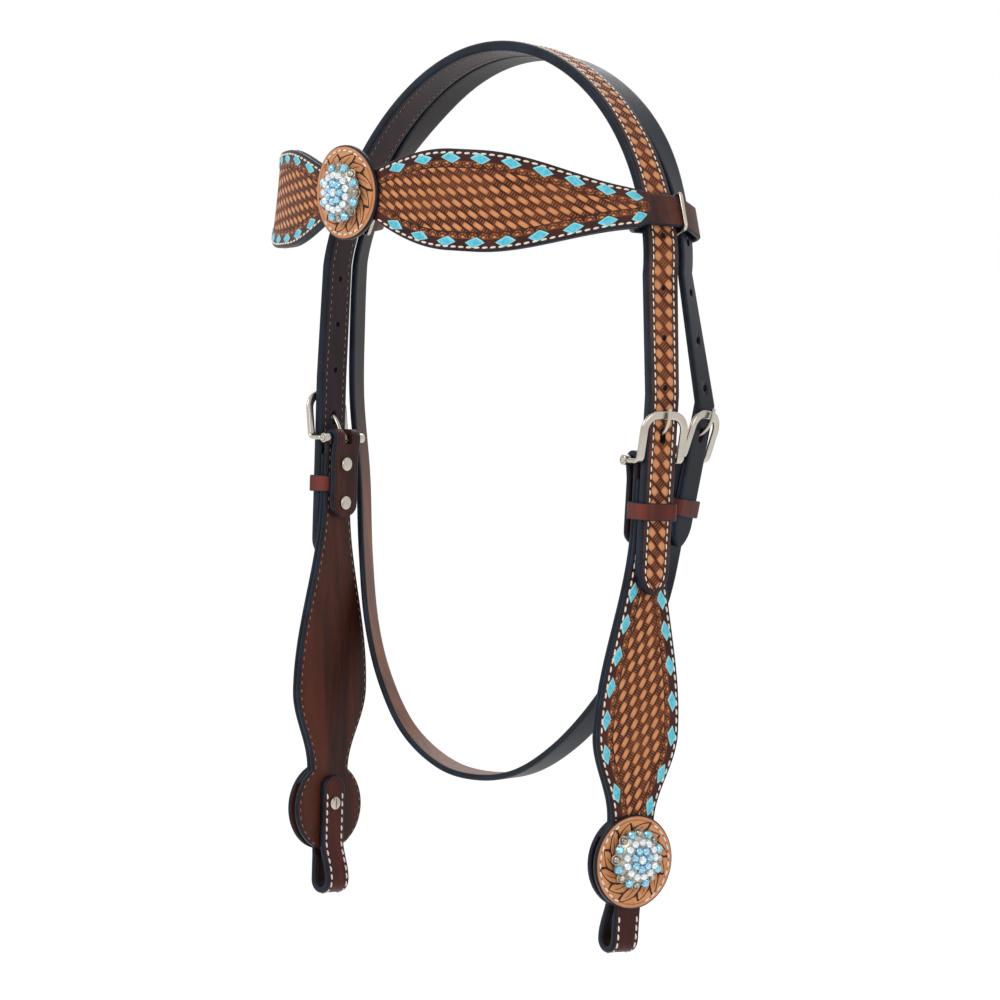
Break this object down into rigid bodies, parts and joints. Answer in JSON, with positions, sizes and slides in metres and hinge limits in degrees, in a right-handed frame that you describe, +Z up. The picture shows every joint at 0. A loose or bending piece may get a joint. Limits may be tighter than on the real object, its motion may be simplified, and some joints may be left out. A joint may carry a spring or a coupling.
{
  "type": "western headstall",
  "caption": "Western browband headstall with throatlatch: scalloped tooled browband and cheek pieces with round conchos, buckled cheeks and throat, and screwed loops for a bit.",
  "frame": {"origin": "on the underside of the crown at the poll, at the middle of the object's width", "axes": "+Z up, -Y towards the browband (the horse's front), +X towards the near side, which has the throat buckle"},
  "size_m": [0.294, 0.1551, 0.4701],
  "materials": {
    "tooled_tan_leather": "tooled and antiqued",
    "mahogany_leather": "smooth, semi-gloss",
    "dark_leather": "smooth, semi-gloss",
    "keeper_leather": "smooth, semi-gloss",
    "nickel": "polished nickel plate",
    "antique_pewter": "antiqued cast metal"
  },
  "bodies": {
    "headstall": {"crown_and_throatlatch": "dark_leather", "crown_tooled_ply": "tooled_tan_leather", "near_cheek_lining": "mahogany_leather", "near_cheek_tooled_ply": "tooled_tan_leather", "near_cheek_disk": "tooled_tan_leather", "near_bit_strap": "mahogany_leather", "near_rivet_1": "nickel", "near_rivet_2": "nickel", "near_cheek_concho": "antique_pewter", "near_cheek_screw": "nickel", "near_keeper": "keeper_leather", "near_buckle_bar": "nickel", "off_cheek_lining": "mahogany_leather", "off_cheek_tooled_ply": "tooled_tan_leather", "off_cheek_disk": "tooled_tan_leather", "off_bit_strap": "mahogany_leather", "off_rivet_1": "nickel", "off_rivet_2": "nickel", "off_cheek_concho": "antique_pewter", "off_cheek_screw": "nickel", "off_keeper": "keeper_leather", "off_buckle_bar": "nickel", "throat_rivet_1": "nickel", "throat_rivet_2": "nickel", "throat_keeper": "keeper_leather", "throat_buckle_bar": "nickel"},
    "browband": {"browband_lining": "mahogany_leather", "browband_tooled_ply": "tooled_tan_leather", "browband_rosette": "tooled_tan_leather", "browband_concho": "antique_pewter", "browband_screw": "nickel", "near_browband_ring": "nickel", "off_browband_ring": "nickel"},
    "near_frame": {"near_buckle_frame": "nickel"},
    "near_tongue": {"near_buckle_tongue": "nickel"},
    "off_frame": {"off_buckle_frame": "nickel"},
    "off_tongue": {"off_buckle_tongue": "nickel"},
    "throat_frame": {"throat_buckle_frame": "nickel"},
    "throat_tongue": {"throat_buckle_tongue": "nickel"}
  },
  "joints": [
    {"name": "browband_slide", "type": "slide", "parent": "headstall", "child": "browband", "axis": [0, -0.1288, -0.9917], "range_m": [-0.002, 0.002]},
    {"name": "near_frame_swing", "type": "hinge", "parent": "headstall", "child": "near_frame", "pos_m": [0.126, -0.0085, -0.211], "axis": [0.087, 0.9946, -0.0574], "range_deg": [0, 4]},
    {"name": "near_tongue_swing", "type": "hinge", "parent": "near_frame", "child": "near_tongue", "pos_m": [0.126, -0.0085, -0.211], "axis": [0.087, 0.9946, -0.0574], "range_deg": [0, 4]},
    {"name": "off_frame_swing", "type": "hinge", "parent": "headstall", "child": "off_frame", "pos_m": [-0.126, -0.0085, -0.211], "axis": [0.087, -0.9946, 0.0574], "range_deg": [0, 4]},
    {"name": "off_tongue_swing", "type": "hinge", "parent": "off_frame", "child": "off_tongue", "pos_m": [-0.126, -0.0085, -0.211], "axis": [0.087, -0.9946, 0.0574], "range_deg": [0, 4]},
    {"name": "throat_frame_swing", "type": "hinge", "parent": "headstall", "child": "throat_frame", "pos_m": [0.118, 0.024, -0.211], "axis": [-0.256, 0.9556, -0.1461], "range_deg": [0, 4]},
    {"name": "throat_tongue_swing", "type": "hinge", "parent": "throat_frame", "child": "throat_tongue", "pos_m": [0.118, 0.024, -0.211], "axis": [-0.256, 0.9556, -0.1461], "range_deg": [0, 4]}
  ]
}
